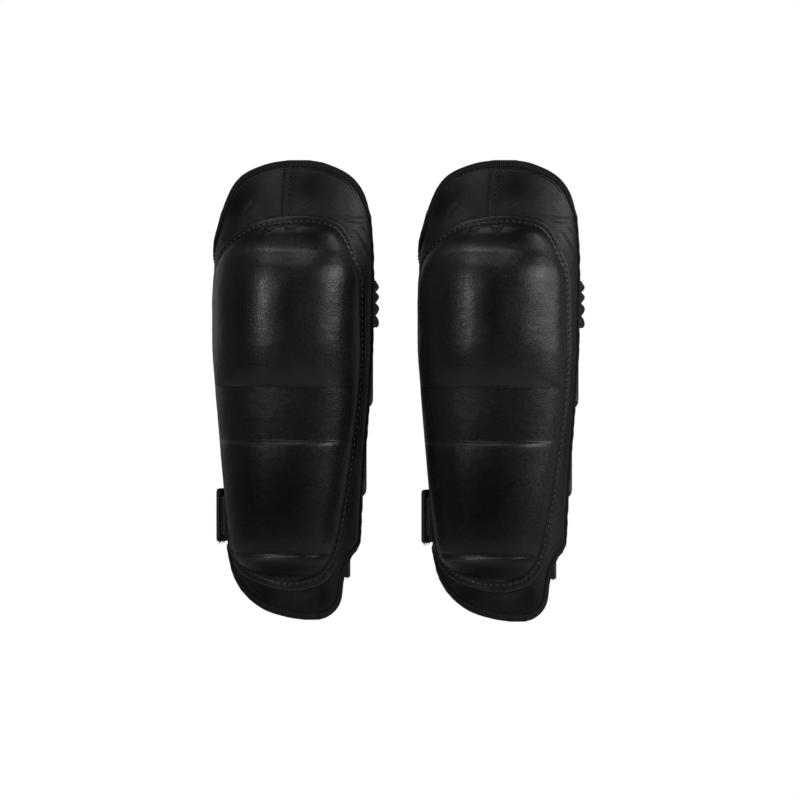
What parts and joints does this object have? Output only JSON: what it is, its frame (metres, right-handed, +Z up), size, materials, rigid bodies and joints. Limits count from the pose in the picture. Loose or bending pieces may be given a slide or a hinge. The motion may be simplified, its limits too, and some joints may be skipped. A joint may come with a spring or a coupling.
{
  "type": "knee and shin guards",
  "caption": "Long leather-covered hard-shell guards for knee and shin, with padded wrap-round backing, a thigh flap and elastic straps that close behind the leg.",
  "frame": {"origin": "midway between the two leg axes, level with the guards' lowest edge", "axes": "+Z up along the legs, the shells face -Y, +X towards the wearer's left-hand guard as seen in front"},
  "size_m": [0.3532, 0.1551, 0.4302],
  "materials": {
    "shell_core": "moulded, matt",
    "shell_cover": "black grained leather, semi-gloss",
    "knee_foam": "soft foam",
    "shin_foam": "soft foam",
    "backing_panel": "black soft leather",
    "backing_foam": "soft foam",
    "lining": "knitted lining",
    "edge_binding": "ribbed binding tape",
    "seam_strip": "black leather",
    "strap": "black elastic webbing",
    "ring": "black enamel, glossy",
    "keeper": "black webbing",
    "hook_tab": "hook tape on webbing",
    "loop_patch": "loop tape",
    "sleeve": "gathered black leather",
    "tail": "black webbing"
  },
  "bodies": {
    "left_guard": {"left_shell_core": "shell_core", "left_shell_cover": "shell_cover", "left_knee_foam": "knee_foam", "left_shin_foam": "shin_foam", "left_backing_panel": "backing_panel", "left_backing_foam": "backing_foam", "left_lining": "lining", "left_edge_binding": "edge_binding", "left_seam_strip": "seam_strip", "left_upper_sleeve": "sleeve", "left_upper_loop_patch": "loop_patch", "left_middle_keeper": "keeper", "left_middle_loop_patch": "loop_patch", "left_lower_keeper": "keeper", "left_lower_loop_patch": "loop_patch", "left_lower_tail": "tail"},
    "left_lower_hook_tab_body": {"left_lower_hook_tab": "hook_tab"},
    "left_lower_ring_body": {"left_lower_ring": "ring"},
    "left_lower_strap_body": {"left_lower_strap": "strap"},
    "left_middle_hook_tab_body": {"left_middle_hook_tab": "hook_tab"},
    "left_middle_ring_body": {"left_middle_ring": "ring"},
    "left_middle_strap_body": {"left_middle_strap": "strap"},
    "left_upper_hook_tab_body": {"left_upper_hook_tab": "hook_tab"},
    "left_upper_strap_body": {"left_upper_strap": "strap"},
    "right_guard": {"right_shell_core": "shell_core", "right_shell_cover": "shell_cover", "right_knee_foam": "knee_foam", "right_shin_foam": "shin_foam", "right_backing_panel": "backing_panel", "right_backing_foam": "backing_foam", "right_lining": "lining", "right_edge_binding": "edge_binding", "right_seam_strip": "seam_strip", "right_upper_sleeve": "sleeve", "right_upper_loop_patch": "loop_patch", "right_middle_keeper": "keeper", "right_middle_loop_patch": "loop_patch", "right_lower_keeper": "keeper", "right_lower_loop_patch": "loop_patch", "right_lower_tail": "tail"},
    "right_lower_hook_tab_body": {"right_lower_hook_tab": "hook_tab"},
    "right_lower_ring_body": {"right_lower_ring": "ring"},
    "right_lower_strap_body": {"right_lower_strap": "strap"},
    "right_middle_hook_tab_body": {"right_middle_hook_tab": "hook_tab"},
    "right_middle_ring_body": {"right_middle_ring": "ring"},
    "right_middle_strap_body": {"right_middle_strap": "strap"},
    "right_upper_hook_tab_body": {"right_upper_hook_tab": "hook_tab"},
    "right_upper_strap_body": {"right_upper_strap": "strap"}
  },
  "joints": [
    {"name": "left_middle_ring_swivel", "type": "hinge", "parent": "left_guard", "child": "left_middle_ring_body", "pos_m": [-0.03295, 0.0265, 0.228], "axis": [0, 0, -1], "range_deg": [0, 25]},
    {"name": "left_middle_strap_open", "type": "hinge", "parent": "left_middle_ring_body", "child": "left_middle_strap_body", "pos_m": [-0.03525, 0.0385, 0.228], "axis": [0, 0, -1], "range_deg": [0, 70]},
    {"name": "left_middle_tab_peel", "type": "hinge", "parent": "left_middle_strap_body", "child": "left_middle_hook_tab_body", "pos_m": [-0.16888, 0.0514, 0.181], "axis": [0, 0, -1], "range_deg": [0, 110]},
    {"name": "left_lower_ring_swivel", "type": "hinge", "parent": "left_guard", "child": "left_lower_ring_body", "pos_m": [-0.03924, 0.0265, 0.144], "axis": [0, 0, -1], "range_deg": [0, 25]},
    {"name": "left_lower_strap_open", "type": "hinge", "parent": "left_lower_ring_body", "child": "left_lower_strap_body", "pos_m": [-0.04154, 0.0385, 0.144], "axis": [0, 0, -1], "range_deg": [0, 70]},
    {"name": "left_lower_tab_peel", "type": "hinge", "parent": "left_lower_strap_body", "child": "left_lower_hook_tab_body", "pos_m": [-0.17103, 0.0279, 0.097], "axis": [0, 0, -1], "range_deg": [0, 110]},
    {"name": "left_upper_strap_open", "type": "hinge", "parent": "left_guard", "child": "left_upper_strap_body", "pos_m": [-0.03004, 0.0435, 0.295], "axis": [0, 0, -1], "range_deg": [0, 70]},
    {"name": "left_upper_tab_peel", "type": "hinge", "parent": "left_upper_strap_body", "child": "left_upper_hook_tab_body", "pos_m": [-0.1747, 0.0514, 0.345], "axis": [0, 0, -1], "range_deg": [0, 110]},
    {"name": "right_middle_ring_swivel", "type": "hinge", "parent": "right_guard", "child": "right_middle_ring_body", "pos_m": [0.16605, 0.0265, 0.228], "axis": [0, 0, -1], "range_deg": [0, 25]},
    {"name": "right_middle_strap_open", "type": "hinge", "parent": "right_middle_ring_body", "child": "right_middle_strap_body", "pos_m": [0.16375, 0.0385, 0.228], "axis": [0, 0, -1], "range_deg": [0, 70]},
    {"name": "right_middle_tab_peel", "type": "hinge", "parent": "right_middle_strap_body", "child": "right_middle_hook_tab_body", "pos_m": [0.03012, 0.0514, 0.181], "axis": [0, 0, -1], "range_deg": [0, 110]},
    {"name": "right_lower_ring_swivel", "type": "hinge", "parent": "right_guard", "child": "right_lower_ring_body", "pos_m": [0.15976, 0.0265, 0.144], "axis": [0, 0, -1], "range_deg": [0, 25]},
    {"name": "right_lower_strap_open", "type": "hinge", "parent": "right_lower_ring_body", "child": "right_lower_strap_body", "pos_m": [0.15746, 0.0385, 0.144], "axis": [0, 0, -1], "range_deg": [0, 70]},
    {"name": "right_lower_tab_peel", "type": "hinge", "parent": "right_lower_strap_body", "child": "right_lower_hook_tab_body", "pos_m": [0.02797, 0.0279, 0.097], "axis": [0, 0, -1], "range_deg": [0, 110]},
    {"name": "right_upper_strap_open", "type": "hinge", "parent": "right_guard", "child": "right_upper_strap_body", "pos_m": [0.16896, 0.0435, 0.295], "axis": [0, 0, -1], "range_deg": [0, 70]},
    {"name": "right_upper_tab_peel", "type": "hinge", "parent": "right_upper_strap_body", "child": "right_upper_hook_tab_body", "pos_m": [0.0243, 0.0514, 0.345], "axis": [0, 0, -1], "range_deg": [0, 110]},
    {"name": "guards_apart", "type": "slide", "parent": "left_guard", "child": "right_guard", "axis": [1, 0, 0], "range_m": [0, 0.15]}
  ]
}
